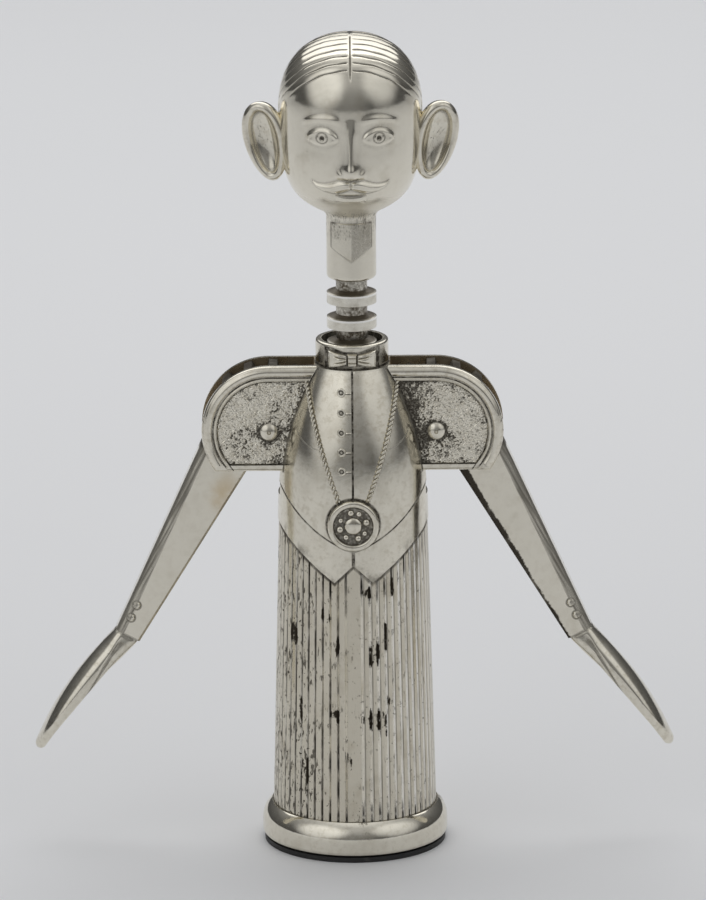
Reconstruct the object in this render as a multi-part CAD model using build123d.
from build123d import *
import math
import os

# Butler corkscrew: a ring rack on the spindle lifts two geared arms.
# Millimetres, +Z up, the figure faces -Y, origin on the table under the spindle axis.

# Rack and geared levers
gear_module = 2.0
gear_full_teeth = 16
pressure_angle = 20.0
gear_backlash = 0.30
ring_tip_radius = 6.2
ring_root_radius = 3.9
ring_pitch_radius = 4.85
ring_tip_land = 2.6
ring_count = 8
first_ring_above_pivot = 33.4
tooth_tip_clearance = 0.45
tooth_root_clearance = 0.25
first_tooth = -2
last_tooth = 6

# Clearances
bore_clearance = 0.10
pin_clearance = 0.06
seat_clearance = 0.02
thrust_gap = 0.20
side_clearance = 0.20
slot_clearance = 0.40
joint_clearance = 0.05

# Foot and bottle guide
foot_thickness = 1.3
foot_inset = 0.5
bottle_bore_radius = 15.2
guide_wall = 1.2
guide_height = 28.0
guide_lip_width = 2.7
guide_lip_thickness = 2.0

# Base ring and striped column
base_ring_stand_out = 2.8
base_ring_height = 8.6
base_ring_seat_depth = 0.9
base_ring_foot_round = 1.6
base_ring_round_share = 0.45
base_ring_top_ledge = 0.5
bell_foot_wall = 4.1
bell_waist_wall = 3.4
waist_height = 92.0
chamber_step = 0.2
bell_below_waist = 2.5
spigot_inset = 1.0
stripe_pitch_count = 60
stripe_width = 0.75
stripe_depth = 0.40

# Waistcoat and coat layers, heights taken from the waist
vest_step = 0.25
coat_step = 0.25
hem_notch_below_waist = 15.7
hem_point_below_waist = 20.3
hem_point_offset = 4.75
hem_side_below_waist = 8.0
coat_point_below_waist = 12.0
coat_side_above_waist = 3.0
coat_spare = 1.0
placket_width = 0.5
placket_depth = 0.35
hem_bow_out = 0.6
hem_bow_up = 0.42
coat_bow_out = 0.55
coat_bow_up = 0.37

# Torso, shoulders and collar
pivot_above_waist = 15.4
shoulder_radius = 16.8
shoulder_thickness = 12.0
slot_width = 8.0
shoulder_bottom_below_pivot = 10.15
shoulder_edge_round = 0.9
rim_width = 2.6
rim_groove_width = 0.4
rim_groove_depth = 0.35
bead_width = 0.7
panel_depth = 0.5
panel_bottom_margin = 1.6
collar_above_pivot = 16.8
collar_height = 6.0
collar_radius = 9.1
collar_bore_radius = 7.6
collar_bore_depth = 11.2
collar_rim_round = 0.6
torso_neck_radius = 10.4
cavity_inset = 0.8
cavity_above_waist = 2.0
cavity_cone_height = 6.0

# Pivot pins
pivot_pin_radius = 2.0
pivot_head_radius = 2.5
pivot_head_height = 1.2
pivot_dimple_radius = 0.5

# Arms, in the arm's own direction
arm_angle = 28.65
arm_root_offset = 6.6
arm_offset = 5.95
arm_length = 64.0
arm_root_width = 14.7
arm_cuff_width = 6.6
arm_outer_round = 1.9
arm_inner_chamfer = 0.6
hub_radius = 9.4

# Hands
hand_length = 37.5
hand_rise = 5.9
hand_width = 13.0
hand_thickness = 5.3
hand_tip_thickness = 2.4
hand_sections = (0, 0.2, 0.45, 0.7, 0.88, 0.96, 1.0)
hand_widest_share = 0.62
hand_tip_share = 0.39
hand_thin_share = 0.35
hand_rise_share = 0.85
hand_tip_blunt = 0.02
tang_width = 4.8
tang_thickness = 3.4
tang_length = 10.0
rivet_radius = 0.5
rivet_head_radius = 1.05
rivet_head_height = 0.6
rivet_edge = 2.1
rivet_first_from_cuff = 4.6
rivet_pitch = 3.5

# Head and neck
neck_radius = 6.2
neck_length = 17.0
neck_chamfer = 0.9
head_radius = 17.6
head_widest_above_jaw = 26.5
head_crown_height = 18.3
jaw_corner_radius = 15.6
jaw_corner_height = 4.4
cheek_length = 19.0
crown_pull = 0.62
head_wall = 3.0
hair_height = 0.3
hair_line_above_widest = 7.0
hair_temple_drop = 9.0
nape_height = 9.5
parting_width = 0.6
parting_stop = 2.0
eye_radius = 2.9
eye_spacing = 13.6
nose_length = 10.4
nose_width = 5.4
nose_height = 2.6
nose_tip_rise = 1.2
nose_tip_back = 0.8
nose_root = 6.0
nose_taper = 18.0
eye_sink = 0.5
eye_ring_share = 0.72
lip_gap = 0.6
lip_half_width = 3.4
lip_half_height = 1.0
moustache_half_width = 9.4
moustache_height = 3.4
relief_height = 1.1
shield_height = 11.7
shield_width = 8.2
shield_relief = 0.35
shield_point_share = 0.35
ear_long = 10.2
ear_short = 5.6
ear_thickness = 4.4
ear_edge_round = 1.7
ear_dish_depth = 2.4
ear_rim = 1.5
ear_tilt = 12.0
ear_turn = 18.0
ear_out = 3.6
ear_below_widest = 8.4

# Spindle rod and worm
rod_radius = 2.2
rod_into_neck = 14.0
socket_height = 7.6
socket_wall = 1.3
worm_plug_length = 6.0
worm_flange_height = 3.0
worm_helix_radius = 3.1
worm_wire_radius = 1.35
worm_pitch = 8.4
worm_turns = 5.5
worm_point_length = 5.0
worm_pin_radius = 0.8

# Bow tie, studs, chain and cup
tie_half_width = 5.9
tie_end_height = 5.4
tie_waist_height = 2.8
tie_height_share = 0.48
tie_relief = 1.0
knot_width = 2.7
knot_height = 3.7
knot_relief = 1.5
stud_radius = 0.9
stud_relief = 0.45
stud_ball_radius = 2.5
stud_count = 5
stud_pitch = 4.7
stud_offset = 2.75
first_stud_above_pivot = 11.8
chain_radius = 0.6
chain_lift = 0.25
chain_top_offset = 11.0
chain_foot_offset = 3.6
chain_bow = 1.4
chain_bend_radius = 18.0
chain_top_share = 0.8
cup_radius = 6.4
cup_rim = 1.4
cup_relief = 1.7
cup_dish_depth = 0.9
cup_boss_radius = 1.9
cup_bead_radius = 0.6
cup_bead_circle = 3.4
cup_bead_count = 8
cup_below_waist = 5.1

# Worked out from the values above
guide_outer_radius = bottle_bore_radius + guide_wall
guide_lip_radius = bottle_bore_radius - guide_lip_width
chamber_radius = bottle_bore_radius - chamber_step
cavity_radius = chamber_radius - cavity_inset
column_foot_radius = guide_outer_radius + bell_foot_wall
column_waist_radius = chamber_radius + bell_waist_wall
spigot_radius = column_waist_radius - spigot_inset
base_ring_radius = column_foot_radius + base_ring_stand_out
foot_radius = base_ring_radius - foot_inset
rack_pitch = math.pi * gear_module
gear_pitch_radius = gear_module * gear_full_teeth / 2
gear_base_radius = gear_pitch_radius * math.cos(math.radians(pressure_angle))
gear_tip_radius = gear_pitch_radius + ring_pitch_radius - ring_root_radius - tooth_tip_clearance
gear_root_radius = gear_pitch_radius - ring_tip_radius + ring_pitch_radius - tooth_root_clearance
flank_slope = math.tan(math.radians(pressure_angle))
ring_pitch_land = ring_tip_land + 2 * (ring_tip_radius - ring_pitch_radius) * flank_slope
tooth_thickness = rack_pitch - ring_pitch_land - gear_backlash
tooth_angle = 360 / gear_full_teeth
pivot_x = gear_pitch_radius + ring_pitch_radius
pivot_z = waist_height + pivot_above_waist
first_ring_z = pivot_z + first_ring_above_pivot
rack_bottom_z = first_ring_z - (ring_count - 0.5) * rack_pitch
neck_bottom_z = first_ring_z + rack_pitch - ring_tip_land / 2
jaw_z = neck_bottom_z + neck_length
widest_z = jaw_z + head_widest_above_jaw
ring_top_z = foot_thickness + base_ring_height
bell_top_z = waist_height - bell_below_waist
column_slope = (column_foot_radius - column_waist_radius) / (waist_height - ring_top_z)
collar_base_z = pivot_z + collar_above_pivot
collar_top_z = collar_base_z + collar_height
half_slot = slot_width / 2
half_shoulder = shoulder_thickness / 2
half_lever = half_slot - side_clearance
reach = 2 * (pivot_x + shoulder_radius)


def column_radius(z):
    """Outer radius of the tapered column at height z."""
    return column_waist_radius + column_slope * (waist_height - z)


# The coat's shoulder curve is one arc, tangent to the column at the waist.
coat_waist_radius = column_waist_radius + vest_step + coat_step
curve_run = Vector(torso_neck_radius - coat_waist_radius, collar_base_z - waist_height)
curve_normal = Vector(-1, -column_slope).normalized()
curve_radius = curve_run.length**2 / (2 * curve_run.dot(curve_normal))
curve_centre = Vector(coat_waist_radius, waist_height) + curve_normal * curve_radius


def coat_radius(z):
    """Outer radius of the coat at height z."""
    if z < waist_height:
        return column_radius(z) + vest_step + coat_step
    return curve_centre.X + math.sqrt(curve_radius**2 - (z - curve_centre.Y) ** 2)


def turned(*points):
    """Solid of revolution about the spindle axis from (radius, height) points."""
    return revolve(Plane.XZ * make_face(Polyline(*points, close=True)), Axis.Z)


def front_prism(face):
    """Prism from the middle plane towards the viewer, drawn as seen from the front."""
    return extrude(Plane.XZ * face, amount=reach)


def back_prism(face):
    """Prism from the middle plane away from the viewer."""
    return extrude(Plane.XZ * face, amount=-reach)


def slab(face, half_thickness):
    """Plate centred on the middle plane, drawn as seen from the front."""
    return extrude(Plane.XZ * face, amount=half_thickness, both=True)


def rectangle(x0, z0, x1, z1):
    """Rectangle between two corners."""
    return Pos((x0 + x1) / 2, (z0 + z1) / 2) * Rectangle(abs(x1 - x0), abs(z1 - z0))


def mirrored(shape):
    """The same piece on the figure's other side."""
    return mirror(shape, about=Plane.YZ)


def cross_rod(radius, length):
    """Rod along Y, centred on the origin."""
    return Rot(90, 0, 0) * Cylinder(radius, length)


def hem_region(drop):
    """Everything above the waistcoat's lower edge, lowered by a clearance."""
    notch_z = waist_height - hem_notch_below_waist - drop
    point_z = waist_height - hem_point_below_waist - drop
    side_z = waist_height - hem_side_below_waist - drop
    side_x = column_radius(side_z) + vest_step
    middle = (hem_bow_out * side_x, point_z + hem_bow_up * (side_z - point_z))
    right = [
        Line((0, notch_z), (hem_point_offset, point_z)),
        ThreePointArc((hem_point_offset, point_z), middle, (side_x, side_z)),
        Polyline((side_x, side_z), (reach, side_z), (reach, collar_top_z), (0, collar_top_z)),
        Line((0, collar_top_z), (0, notch_z)),
    ]
    half = make_face(right)
    front = front_prism(half + mirrored(half))
    return front + back_prism(rectangle(-reach, side_z, reach, collar_top_z))


def coat_region():
    """Everything above the coat's lower edge, which dips to a point under the cup."""
    point_z = waist_height - coat_point_below_waist
    side_z = waist_height + coat_side_above_waist
    side_x = coat_radius(side_z)
    middle = (coat_bow_out * side_x, point_z + coat_bow_up * (side_z - point_z))
    right = [
        ThreePointArc((0, point_z), middle, (side_x, side_z)),
        Polyline((side_x, side_z), (reach, side_z), (reach, collar_top_z), (0, collar_top_z)),
        Line((0, collar_top_z), (0, point_z)),
    ]
    half = make_face(right)
    front = front_prism(half + mirrored(half))
    return front + back_prism(rectangle(-reach, side_z, reach, collar_top_z))


def coat_body(inset=0.0):
    """Coat layer as one turned form, before its lower edge is cut."""
    low_z = waist_height - coat_point_below_waist - coat_spare
    low = (column_radius(low_z) + vest_step + coat_step - inset, low_z)
    waist = (coat_waist_radius - inset, waist_height)
    neck = (torso_neck_radius - inset, collar_base_z)
    outline = [
        Polyline((0, low_z), low, waist),
        TangentArc(waist, neck, tangent=(-column_slope, 1)),
        Polyline(neck, (0, collar_base_z), (0, low_z)),
    ]
    return revolve(Plane.XZ * make_face(outline), Axis.Z)


def shoulder_face(inset, bottom_margin):
    """Outline of the left shoulder plate: a disc about the pivot, flat below, run into the torso."""
    disc_radius = shoulder_radius - inset
    disc = Pos(-pivot_x, pivot_z) * Circle(disc_radius)
    bar = rectangle(-pivot_x, pivot_z - disc_radius, 0, pivot_z + disc_radius)
    bottom_z = pivot_z - shoulder_bottom_below_pivot + bottom_margin
    return (disc + bar) & rectangle(-reach, bottom_z, 0, pivot_z + shoulder_radius)


def shoulder_block():
    """Left shoulder with rounded edges, rim groove, bead and sunk panel, front and back."""
    block = slab(shoulder_face(0, 0), half_shoulder)
    faces = block.faces().sort_by(Axis.Y)
    rim_edges = (faces[0].edges() + faces[-1].edges()).filter_by(lambda e: e.center().X < -0.1)
    block = fillet(rim_edges, shoulder_edge_round)
    groove_inset = rim_width
    bead_inset = groove_inset + rim_groove_width
    panel_inset = bead_inset + bead_width
    low_bead = panel_bottom_margin - bead_width
    groove = shoulder_face(groove_inset, low_bead - rim_groove_width) - shoulder_face(bead_inset, low_bead)
    panel = shoulder_face(panel_inset, panel_bottom_margin)
    cuts = slab(groove, half_shoulder) - slab(groove, half_shoulder - rim_groove_depth)
    cuts += slab(panel, half_shoulder) - slab(panel, half_shoulder - panel_depth)
    return block - cuts


def lever_slot():
    """Space for the left lever: the gear's sweep, open at the top, outside and below."""
    gear_room = Pos(-pivot_x, pivot_z) * Circle(gear_tip_radius + slot_clearance)
    outer_x = -(pivot_x + shoulder_radius + slot_clearance)
    collar_side = -(collar_radius + slot_clearance)
    top = rectangle(outer_x, pivot_z, collar_side, collar_top_z)
    low_z = pivot_z - shoulder_bottom_below_pivot - slot_clearance
    arm_side = arm_root_offset - arm_root_width / 2 - slot_clearance
    low = rectangle(outer_x, low_z, -(pivot_x + arm_side), pivot_z)
    return slab(gear_room + top + low, half_slot)


def torso_casting():
    """Coat, waistcoat skirt, shoulders and collar in one casting."""
    low_z = waist_height - hem_point_below_waist
    high_z = waist_height + coat_side_above_waist
    vest = turned(
        (0, low_z),
        (column_radius(low_z) + vest_step, low_z),
        (column_radius(high_z) + vest_step, high_z),
        (0, high_z),
    )
    coat = coat_body() & coat_region()
    placket = (coat_body() - coat_body(placket_depth)) & front_prism(
        rectangle(-placket_width / 2, low_z, placket_width / 2, collar_base_z)
    )
    collar = Pos(0, 0, collar_top_z - collar_height) * Cylinder(
        collar_radius, collar_height, align=(Align.CENTER, Align.CENTER, Align.MIN)
    )
    collar = fillet(collar.edges().group_by(Axis.Z)[-1], collar_rim_round)
    shoulders = shoulder_block()
    body = (vest & hem_region(0)) + (coat - placket) + collar + shoulders + mirrored(shoulders)
    slot = lever_slot()
    guide_radius = ring_tip_radius + bore_clearance
    cavity_z = waist_height + cavity_above_waist
    inside = turned(
        (0, low_z - 1),
        (spigot_radius + joint_clearance, low_z - 1),
        (spigot_radius + joint_clearance, bell_top_z),
        (cavity_radius, bell_top_z),
        (cavity_radius, cavity_z),
        (guide_radius, cavity_z + cavity_cone_height),
        (guide_radius, collar_top_z - collar_bore_depth),
        (collar_bore_radius, collar_top_z - collar_bore_depth),
        (collar_bore_radius, collar_top_z + 1),
        (0, collar_top_z + 1),
    )
    pin_hole = cross_rod(pivot_pin_radius + seat_clearance, shoulder_thickness + 1)
    pin_hole = Pos(pivot_x, 0, pivot_z) * pin_hole
    return body - inside - slot - mirrored(slot) - pin_hole - mirrored(pin_hole)


def trouser_bell():
    """Striped tapered tube that slides over the bottle neck."""
    seat_radius = column_foot_radius - base_ring_seat_depth
    tube = turned(
        (guide_outer_radius + joint_clearance, foot_thickness),
        (seat_radius, foot_thickness),
        (seat_radius, ring_top_z),
        (column_foot_radius, ring_top_z),
        (column_radius(bell_top_z), bell_top_z),
        (chamber_radius, bell_top_z),
        (chamber_radius, guide_height),
        (guide_outer_radius + joint_clearance, guide_height),
    )
    lean = math.degrees(math.atan(column_slope))
    run = 1.2 * (bell_top_z - ring_top_z)
    notch = make_face(
        Polyline((-stripe_depth, 0), (stripe_depth, -stripe_width), (stripe_depth, stripe_width), close=True)
    )
    stripe = Pos(column_foot_radius, 0, ring_top_z) * Rot(0, -lean, 0) * extrude(notch, amount=run)
    step = 360 / stripe_pitch_count
    stripes = [Rot(0, 0, step * i - 90) * stripe for i in range(1, stripe_pitch_count)]
    tube = tube - stripes
    skirt_room = hem_region(joint_clearance) - Cylinder(spigot_radius, 4 * collar_top_z)
    return tube - skirt_room


def base_ring():
    """Quarter-round ring pressed over the bottom of the bell."""
    inner = column_foot_radius - base_ring_seat_depth + seat_clearance
    round_z = foot_thickness + base_ring_height * base_ring_round_share
    low_z = foot_thickness + base_ring_foot_round
    shoulder = (column_foot_radius + base_ring_top_ledge, ring_top_z)
    toe = (base_ring_radius - base_ring_foot_round, foot_thickness)
    outline = [
        Polyline(shoulder, (inner, ring_top_z), (inner, foot_thickness)),
        Line((inner, foot_thickness), toe),
        RadiusArc(toe, (base_ring_radius, low_z), -base_ring_foot_round),
        Line((base_ring_radius, low_z), (base_ring_radius, round_z)),
        TangentArc((base_ring_radius, round_z), shoulder, tangent=(0, 1)),
    ]
    return revolve(Plane.XZ * make_face(outline), Axis.Z)


def bottle_guide():
    """Black insert: foot flange, sleeve for the bottle neck and a stop lip for its rim."""
    return turned(
        (bottle_bore_radius, 0),
        (foot_radius, 0),
        (foot_radius, foot_thickness),
        (guide_outer_radius, foot_thickness),
        (guide_outer_radius, guide_height),
        (guide_lip_radius, guide_height),
        (guide_lip_radius, guide_height - guide_lip_thickness),
        (bottle_bore_radius, guide_height - guide_lip_thickness),
    )


def dome_head(radius, height):
    """Low domed head standing on z = 0."""
    ball_radius = (radius**2 + height**2) / (2 * height)
    ball = Pos(0, 0, height - ball_radius) * Sphere(ball_radius)
    room = Cylinder(radius + 1, height, align=(Align.CENTER, Align.CENTER, Align.MIN))
    return ball & room


def pivot_pin():
    """Left pivot: rod through both cheeks with a domed, dimpled head on each side."""
    half = half_shoulder - panel_depth
    head = Pos(0, 0, half) * dome_head(pivot_head_radius, pivot_head_height)
    head -= Pos(0, 0, half + pivot_head_height) * Sphere(pivot_dimple_radius)
    pin = Cylinder(pivot_pin_radius, 2 * half) + head + mirror(head, about=Plane.XY)
    return Pos(-pivot_x, 0, pivot_z) * Rot(90, 0, 0) * pin


def tooth_face(angle):
    """One involute tooth pointing at the given angle from the pivot."""

    def flank(radius, side):
        roll = math.acos(min(1.0, gear_base_radius / radius))
        start = math.radians(pressure_angle)
        spread = math.tan(start) - start - math.tan(roll) + roll
        half = tooth_thickness / (2 * gear_pitch_radius) + spread
        turn = math.radians(angle) + side * half
        return (radius * math.cos(turn), radius * math.sin(turn))

    def root(side):
        x, z = flank(gear_base_radius, side)
        share = (gear_root_radius - tooth_root_clearance) / gear_base_radius
        return (x * share, z * share)

    base = gear_base_radius
    pitch = gear_pitch_radius
    tip = gear_tip_radius
    outline = [
        Line(root(-1), flank(base, -1)),
        ThreePointArc(flank(base, -1), flank(pitch, -1), flank(tip, -1)),
        Line(flank(tip, -1), flank(tip, 1)),
        ThreePointArc(flank(tip, 1), flank(pitch, 1), flank(base, 1)),
        Line(flank(base, 1), root(1)),
        Line(root(1), root(-1)),
    ]
    return make_face(outline)


def sector_face():
    """Hub and toothed sector about the pivot, in mesh with the rack's grooves at rest."""
    groove_rise = first_ring_above_pivot + rack_pitch / 2
    phase = math.degrees((groove_rise - rack_pitch * round(groove_rise / rack_pitch)) / gear_pitch_radius)
    start = phase + (first_tooth - 0.5) * tooth_angle
    end = phase + (last_tooth + 0.5) * tooth_angle

    def rim(angle):
        turn = math.radians(angle)
        return (gear_root_radius * math.cos(turn), gear_root_radius * math.sin(turn))

    fan = make_face(
        [
            Line((0, 0), rim(start)),
            ThreePointArc(rim(start), rim((start + end) / 2), rim(end)),
            Line(rim(end), (0, 0)),
        ]
    )
    face = Circle(hub_radius) + fan
    for index in range(first_tooth, last_tooth + 1):
        face += tooth_face(phase + index * tooth_angle)
    return face


def in_arm(shape):
    """Place a piece drawn with the arm straight down at its resting slant."""
    return Pos(-pivot_x, 0, pivot_z) * Rot(0, arm_angle, 0) * shape


def sleeve_edge(rise):
    """Distance of the sleeve's outer edge from the arm's line, at a rise above the cuff."""
    cuff = arm_offset + arm_cuff_width / 2
    root = arm_root_offset + arm_root_width / 2
    return cuff + (root - cuff) * rise / arm_length


def sleeve_arm():
    """Tapered sleeve from the hub to the cuff, drawn straight down, outer side towards -X."""
    root_in = arm_root_width / 2 - arm_root_offset
    cuff_in = arm_cuff_width / 2 - arm_offset
    outline = Polyline(
        (root_in, 0), (-sleeve_edge(arm_length), 0), (-sleeve_edge(0), -arm_length), (cuff_in, -arm_length),
        close=True,
    )
    arm = slab(make_face(outline), half_lever)
    long_edges = arm.edges().filter_by(lambda e: e.length > 0.9 * arm_length).sort_by(Axis.X)
    arm = fillet(long_edges[:2], arm_outer_round)
    long_edges = arm.edges().filter_by(lambda e: e.length > 0.9 * arm_length).sort_by(Axis.X)
    return chamfer(long_edges[-2:], arm_inner_chamfer)


def rivet_places():
    """Centres of the two cuff rivets, arm straight down."""
    rises = [rivet_first_from_cuff + i * rivet_pitch for i in range(2)]
    return [(rivet_edge - sleeve_edge(rise), rise - arm_length) for rise in rises]


def lever():
    """Left lever: toothed hub, sleeve arm, pivot bore and cuff socket."""
    hub = Pos(-pivot_x, 0, pivot_z) * slab(sector_face(), half_lever)
    body = hub + in_arm(sleeve_arm())
    socket = Pos(-arm_offset, 0, -arm_length) * Box(
        tang_width + 2 * joint_clearance,
        tang_thickness + 2 * joint_clearance,
        2 * (tang_length + joint_clearance),
    )
    body -= in_arm(socket)
    for x, z in rivet_places():
        body -= in_arm(Pos(x, 0, z) * cross_rod(rivet_radius + seat_clearance, 2 * half_lever + 1))
    pin_bore = cross_rod(pivot_pin_radius + pin_clearance, 2 * half_lever + 1)
    return body - Pos(-pivot_x, 0, pivot_z) * pin_bore


def hand_section(share):
    """Cross-section of the hand at a share of its length: flat palm, straight sides, arched back."""
    sleeve_width = 2 * half_lever
    swell = math.sin(math.pi / 2 * min(1, share / hand_widest_share))
    width = sleeve_width + (hand_width - sleeve_width) * swell
    if share > hand_widest_share:
        tip = (share - hand_widest_share) / hand_tip_share
        width = hand_width * math.sqrt(1 + hand_tip_blunt - tip**2)
    thick = arm_cuff_width + (hand_thickness - arm_cuff_width) * share / hand_thin_share
    if share > hand_thin_share:
        thinning = (share - hand_thin_share) / (1 - hand_thin_share)
        thick = hand_thickness + (hand_tip_thickness - hand_thickness) * thinning
    rise = hand_rise * math.sin(math.pi / 2 * min(1, share / hand_rise_share))
    palm = -thick / 2
    half = width / 2
    face = make_face(
        [
            Line((-half, palm), (half, palm)),
            Line((half, palm), (half, 0)),
            ThreePointArc((half, 0), (0, thick / 2), (-half, 0)),
            Line((-half, 0), (-half, palm)),
        ]
    )
    place = Plane(
        origin=(-(arm_offset + rise), 0, -arm_length - share * hand_length),
        x_dir=(0, 1, 0),
        z_dir=(0, 0, 1),
    )
    return place * face


def hand():
    """Left hand: thumb plate lofted from the cuff to a rounded tip, with its tang in the sleeve."""
    plate = loft([hand_section(share) for share in hand_sections])
    tang = Box(tang_width, tang_thickness, tang_length)
    tang = Pos(-arm_offset, 0, -arm_length + tang_length / 2) * tang
    body = in_arm(plate + tang)
    for x, z in rivet_places():
        body -= in_arm(Pos(x, 0, z) * cross_rod(rivet_radius + seat_clearance, 2 * half_lever))
    return body


def cuff_rivets():
    """Two rivets through the left cuff and the hand's tang."""
    head = Pos(0, 0, half_lever) * dome_head(rivet_head_radius, rivet_head_height)
    shank = Cylinder(rivet_radius, 2 * half_lever)
    rivet = Rot(90, 0, 0) * (shank + head + mirror(head, about=Plane.XY))
    return [in_arm(Pos(x, 0, z) * rivet) for x, z in rivet_places()]


def rack_sleeve():
    """Turned sleeve with rings cut as a rack on both sides, free to turn on the rod."""
    land = ring_tip_land / 2
    foot = land + (ring_tip_radius - ring_root_radius) * flank_slope
    bore = rod_radius + bore_clearance
    top_z = neck_bottom_z - thrust_gap
    points = [(bore, rack_bottom_z), (ring_root_radius, rack_bottom_z)]
    for index in reversed(range(ring_count)):
        z = first_ring_z - index * rack_pitch
        points += [(ring_root_radius, z - foot), (ring_tip_radius, z - land)]
        points += [(ring_tip_radius, z + land), (ring_root_radius, z + foot)]
    points += [(ring_root_radius, top_z), (bore, top_z)]
    return turned(*points)


def egg(inset, hole_radius):
    """Head form of revolution, moved in by an inset, open below to the given radius."""
    radius = head_radius - inset
    height = head_crown_height - inset
    jaw = (hole_radius, jaw_z + inset)
    jaw_pull = (jaw_corner_radius - inset, jaw_z + jaw_corner_height + inset)
    widest = (radius, widest_z)
    crown = (0, widest_z + height)
    outline = [
        Line((0, jaw_z + inset), jaw),
        Bezier(jaw, jaw_pull, (radius, widest_z - cheek_length), widest),
        Bezier(
            widest, (radius, widest_z + crown_pull * height), (crown_pull * radius, widest_z + height), crown
        ),
        Line(crown, (0, jaw_z + inset)),
    ]
    return revolve(Plane.XZ * make_face(outline), Axis.Z)


def hair():
    """Combed hair: a raised cap with a centre parting that ends short of the crown."""
    peak_z = widest_z + hair_line_above_widest
    temple_z = peak_z - hair_temple_drop
    top_z = widest_z + 2 * head_crown_height
    outline = [
        ThreePointArc((-head_radius, temple_z), (0, peak_z), (head_radius, temple_z)),
        Polyline((head_radius, temple_z), (reach, temple_z), (reach, top_z)),
        Polyline((reach, top_z), (-reach, top_z), (-reach, temple_z), (-head_radius, temple_z)),
    ]
    region = front_prism(make_face(outline))
    region += back_prism(rectangle(-reach, jaw_z + nape_height, reach, top_z))
    cap = egg(-hair_height, neck_radius) & region
    parting = Box(
        parting_width, reach, 4 * head_crown_height, align=(Align.CENTER, Align.MAX, Align.CENTER)
    )
    return cap - Pos(0, -parting_stop, widest_z) * parting


def face_relief():
    """Plain doll features: domed eyes, wedge nose, curled moustache and lower lip."""
    eye_z = (jaw_z + widest_z + head_crown_height) / 2
    nose_z = eye_z - nose_length
    eye_x = eye_spacing / 2
    eye_y = -math.sqrt(head_radius**2 - eye_x**2)
    eye = Pos(eye_x, eye_y + eye_sink, eye_z) * Sphere(eye_radius / 2)
    ring_face = Circle(eye_radius) - Circle(eye_ring_share * eye_radius)
    ring = front_prism(Pos(eye_x, eye_z) * ring_face)
    ring = ring & egg(-relief_height / 2, neck_radius)
    nose_front = -(head_radius + nose_height)
    nose_back = nose_root - head_radius
    nose_line = Polyline(
        (nose_back, eye_z + 1),
        (nose_front, nose_z + nose_tip_rise),
        (nose_front + nose_tip_back, nose_z),
        (nose_back, nose_z),
        close=True,
    )
    profile = make_face(Plane.YZ * nose_line)
    nose = extrude(profile, amount=nose_width / 2, both=True, taper=nose_taper)
    lip_z = nose_z - lip_gap
    end = (moustache_half_width, lip_z - 0.2)
    low = (0.55 * moustache_half_width, lip_z - moustache_height)
    lobe = make_face(
        [
            ThreePointArc((0, lip_z), (0.5 * moustache_half_width, lip_z - 1.2), end),
            ThreePointArc(end, low, (0, lip_z - 0.6 * moustache_height)),
            Line((0, lip_z - 0.6 * moustache_height), (0, lip_z)),
        ]
    )
    moustache = front_prism(lobe + mirrored(lobe)) & egg(-relief_height, neck_radius)
    lip = Pos(0, lip_z - 1.5 * moustache_height) * Ellipse(lip_half_width, lip_half_height)
    lower_lip = front_prism(lip) & egg(-0.6 * relief_height, neck_radius)
    return eye + mirrored(eye) + ring + mirrored(ring) + nose + moustache + lower_lip


def head():
    """Head and neck in one hollow casting, bored for the rod."""
    bore = rod_radius + seat_clearance
    neck = Pos(0, 0, neck_bottom_z) * Cylinder(
        neck_radius, neck_length + 1, align=(Align.CENTER, Align.CENTER, Align.MIN)
    )
    neck = chamfer(neck.edges().group_by(Axis.Z)[0], neck_chamfer)
    half = shield_width / 2
    low = jaw_z - shield_height
    corner_z = low + shield_point_share * shield_height
    shield = Polyline(
        (-half, jaw_z), (half, jaw_z), (half, corner_z), (0, low), (-half, corner_z), close=True
    )
    shell = Cylinder(
        neck_radius + shield_relief, shield_height + 1, align=(Align.CENTER, Align.CENTER, Align.MIN)
    )
    throat = front_prism(make_face(shield)) & (Pos(0, 0, low) * shell)
    body = egg(0, neck_radius) + neck + throat + hair() + face_relief()
    hollow = egg(head_wall, bore)
    drill = Pos(0, 0, neck_bottom_z - 1) * Cylinder(
        bore, neck_length + head_wall + 3, align=(Align.CENTER, Align.CENTER, Align.MIN)
    )
    return body - hollow - drill


def ear(head_body):
    """Left ear: dished oval with a rolled rim, seated against the head."""
    oval = extrude(Ellipse(ear_short, ear_long), amount=ear_thickness / 2, both=True)
    oval = fillet(oval.edges(), ear_edge_round)
    dish = Pos(0, 0, ear_thickness / 2) * scale(
        Sphere(1), by=(ear_short - ear_rim, ear_long - ear_rim, ear_dish_depth)
    )
    facing = Rot(90, 0, 0) * (oval - dish)
    turned_out = Rot(0, -ear_tilt, 0) * Rot(0, 0, -ear_turn) * facing
    return Pos(-(head_radius + ear_out), 0, widest_z - ear_below_widest) * turned_out - head_body


def spindle_rod():
    """Rod through the rack, screwed into the neck, with a socket for the worm below."""
    top_z = neck_bottom_z + rod_into_neck
    shoulder_z = rack_bottom_z - thrust_gap
    low_z = shoulder_z - socket_height
    inner = ring_root_radius - socket_wall + seat_clearance
    rod = turned(
        (0, top_z), (rod_radius, top_z), (rod_radius, shoulder_z), (ring_root_radius, shoulder_z),
        (ring_root_radius, low_z), (inner, low_z), (inner, low_z + worm_plug_length + joint_clearance),
        (0, low_z + worm_plug_length + joint_clearance),
    )
    return rod - worm_cross_rod(worm_pin_radius + seat_clearance, 3 * ring_root_radius)


def worm_cross_rod(radius, length):
    """Cross rod through the middle of the worm's plug."""
    z = rack_bottom_z - thrust_gap - socket_height + worm_plug_length / 2
    return Pos(0, 0, z) * cross_rod(radius, length)


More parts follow.
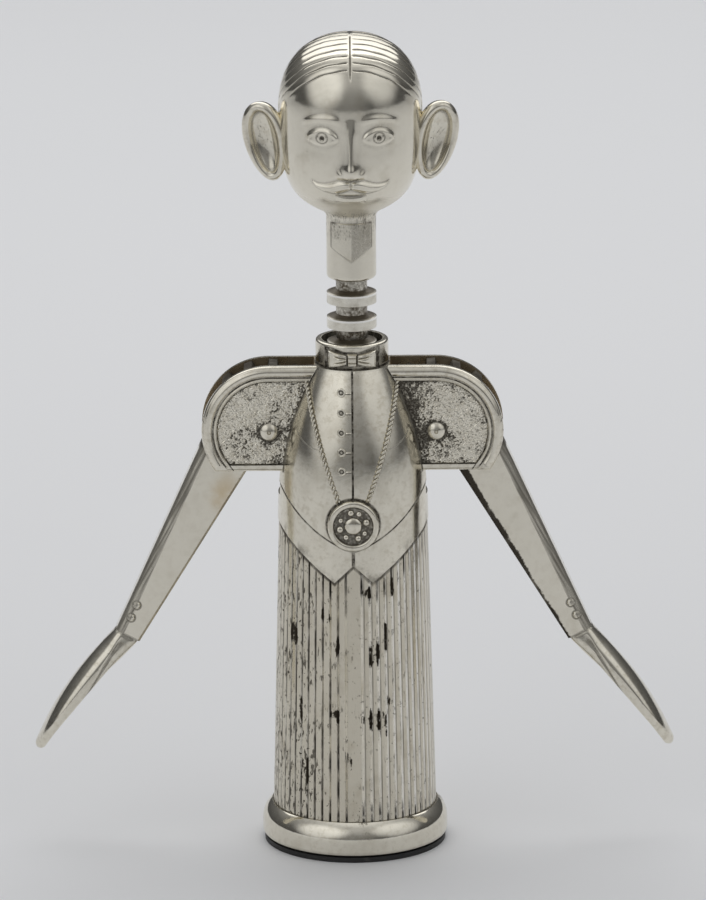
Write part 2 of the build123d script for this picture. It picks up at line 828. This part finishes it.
def worm_pin():
    """Cross pin through the socket and the worm's plug, just under flush."""
    reach_out = math.sqrt(ring_root_radius**2 - worm_pin_radius**2) - joint_clearance
    return worm_cross_rod(worm_pin_radius, 2 * reach_out)


def helix_path(low_z):
    """Right-hand helix from its lower end, as two tangent arcs for each quarter turn."""

    def place(quarter):
        turn = quarter * math.pi / 2
        x = worm_helix_radius * math.cos(turn)
        y = worm_helix_radius * math.sin(turn)
        return Vector(x, y, low_z + quarter * worm_pitch / 4)

    def heading(quarter):
        turn = quarter * math.pi / 2
        climb = worm_pitch / (2 * math.pi)
        x = -worm_helix_radius * math.sin(turn)
        y = worm_helix_radius * math.cos(turn)
        return Vector(x, y, climb).normalized()

    arcs = []
    for quarter in range(round(4 * worm_turns)):
        start, end = place(quarter), place(quarter + 1)
        out, into = heading(quarter), heading(quarter + 1)
        span = end - start
        both = out + into
        spread = 2 * (1 - out.dot(into))
        handle = (math.sqrt(span.dot(both) ** 2 + spread * span.dot(span)) - span.dot(both)) / spread
        middle = (start + end + (out - into) * handle) * 0.5
        first = TangentArc(start, middle, tangent=out)
        arcs += [first, TangentArc(middle, end, tangent=first % 1)]
    return Wire(arcs)


def worm():
    """Right-hand worm: plug and flange above, wire helix cut to a slanted point below."""
    plug_z = rack_bottom_z - thrust_gap - socket_height
    plug_radius = ring_root_radius - socket_wall
    flange_radius = worm_helix_radius + worm_wire_radius
    flange_z = plug_z - worm_flange_height
    stem = turned(
        (0, plug_z + worm_plug_length), (plug_radius, plug_z + worm_plug_length), (plug_radius, plug_z),
        (flange_radius, plug_z), (flange_radius, flange_z), (0, flange_z),
    )
    path = helix_path(flange_z + worm_wire_radius - worm_pitch * worm_turns)
    start = Plane(origin=path @ 0, z_dir=path % 0)
    wire = sweep(start * Circle(worm_wire_radius), path=path)
    slant = math.atan2(worm_point_length, 2 * worm_wire_radius)
    along = path % 0
    across = along.cross(Vector(1, 0, 0)).normalized()
    across = across if across.Z > 0 else -across
    cut_normal = along * math.cos(slant) - across * math.sin(slant)
    cut_plane = Plane(origin=path @ 0 - across * worm_wire_radius, z_dir=cut_normal)
    side = 2 * worm_point_length
    wire -= cut_plane * Box(side, side, side / 2, align=(Align.CENTER, Align.CENTER, Align.MAX))
    return stem + wire - worm_cross_rod(worm_pin_radius + seat_clearance, 3 * ring_root_radius)


def bow_tie():
    """Bow tie wrapped on the collar front: two flared wings and a knot."""
    z = collar_base_z + tie_height_share * collar_height
    wing = Polyline(
        (0, z - tie_waist_height / 2), (tie_half_width, z - tie_end_height / 2),
        (tie_half_width, z + tie_end_height / 2), (0, z + tie_waist_height / 2), close=True,
    )
    wings = make_face(wing) + mirrored(make_face(wing))
    low_z = collar_base_z
    knot = Pos(0, z) * RectangleRounded(knot_width, knot_height, 0.4 * knot_width)

    def shell(relief):
        ring = Cylinder(collar_radius + relief, 2 * collar_height) - Cylinder(
            collar_radius + seat_clearance, 2 * collar_height
        )
        return Pos(0, 0, low_z + collar_height / 2) * ring

    return (front_prism(wings) & shell(tie_relief)) + (front_prism(knot) & shell(knot_relief))


def on_coat(x, z, lift):
    """Point on the coat's front at width x and height z, lifted off the cloth."""
    radius = coat_radius(z) + lift
    return Vector(x, -math.sqrt(radius**2 - x**2), z)


def shirt_studs(torso):
    """Round studs in a row beside the placket."""
    studs = []
    for index in range(stud_count):
        z = pivot_z + first_stud_above_pivot - index * stud_pitch
        seat = on_coat(-stud_offset, z, 0)
        rise = on_coat(-stud_offset, z + 1, 0) - on_coat(-stud_offset, z - 1, 0)
        side = on_coat(-stud_offset - 1, z, 0) - on_coat(-stud_offset + 1, z, 0)
        plane = Plane(origin=seat, z_dir=rise.cross(side))
        if plane.z_dir.Y > 0:
            plane = Plane(origin=seat, z_dir=side.cross(rise))
        ball = Pos(0, 0, stud_relief - stud_ball_radius) * Sphere(stud_ball_radius)
        stem = Cylinder(stud_radius, 4 * stud_relief) & ball
        studs.append((plane * stem) - torso)
    return studs


def neck_chain(torso, cup):
    """Two cord-like strands lying on the coat from the shoulders to the cup."""
    top_z = pivot_z + chain_top_share * shoulder_radius
    foot_z = waist_height - cup_below_waist + 0.9 * cup_radius
    steps = 5
    points = []
    for index in range(steps):
        share = index / (steps - 1)
        x = chain_top_offset + (chain_foot_offset - chain_top_offset) * share**chain_bow
        points.append(on_coat(-x, top_z + (foot_z - top_z) * share, chain_lift))
    path = FilletPolyline(*points, radius=chain_bend_radius)
    start = Plane(origin=path @ 0, z_dir=path % 0)
    strand = sweep(start * Circle(chain_radius), path=path)
    return [piece - torso - cup for piece in (strand, mirrored(strand))]


def tasting_cup(torso):
    """Shallow round cup on the chain: rolled rim, dished bowl, boss and a ring of beads."""
    z = waist_height - cup_below_waist
    front = coat_radius(z) + cup_relief
    depth = cup_relief + 0.8 * (coat_radius(z) - spigot_radius - joint_clearance)
    disc = Cylinder(cup_radius, depth, align=(Align.CENTER, Align.CENTER, Align.MAX))
    disc = fillet(disc.edges().group_by(Axis.Z)[-1], 0.45 * cup_rim)
    bowl_radius = cup_radius - cup_rim
    ball = (bowl_radius**2 + cup_dish_depth**2) / (2 * cup_dish_depth)
    disc -= Pos(0, 0, ball - cup_dish_depth) * Sphere(ball)
    disc += Pos(0, 0, -cup_dish_depth) * dome_head(cup_boss_radius, 0.8 * cup_dish_depth)
    for index in range(cup_bead_count):
        bead = Pos(cup_bead_circle, 0, -0.55 * cup_dish_depth) * Sphere(cup_bead_radius)
        disc += Rot(0, 0, 360 / cup_bead_count * index) * bead
    return Pos(0, -front, z) * Rot(90, 0, 0) * disc - torso


def write(name, shape):
    """Save one piece, or several loose ones of a kind, as its own file."""
    pieces_of_kind = shape if isinstance(shape, list) else [shape]
    solids = [Part(solid.wrapped) for piece in pieces_of_kind for solid in piece.solids()]
    export_step(Compound(children=solids), f"parts/{name}.step")


os.makedirs("parts", exist_ok=True)
torso = torso_casting()
cup = tasting_cup(torso)
head_body = head()
left_ear = ear(head_body)
left_lever = lever()
left_hand = hand()
left_rivets = cuff_rivets()
left_pin = pivot_pin()
pieces = {
    "torso_casting": torso,
    "trouser_bell": trouser_bell(),
    "base_ring": base_ring(),
    "bottle_guide": bottle_guide(),
    "left_pivot_pin": left_pin,
    "right_pivot_pin": mirrored(left_pin),
    "bow_tie": bow_tie(),
    "shirt_studs": shirt_studs(torso),
    "neck_chain": neck_chain(torso, cup),
    "tasting_cup": cup,
    "rack_sleeve": rack_sleeve(),
    "head": head_body,
    "left_ear": left_ear,
    "right_ear": mirrored(left_ear),
    "spindle_rod": spindle_rod(),
    "worm": worm(),
    "worm_pin": worm_pin(),
    "left_lever": left_lever,
    "right_lever": mirrored(left_lever),
    "left_hand": left_hand,
    "right_hand": mirrored(left_hand),
    "left_cuff_rivets": left_rivets,
    "right_cuff_rivets": [mirrored(rivet) for rivet in left_rivets],
}
for name, shape in pieces.items():
    write(name, shape)
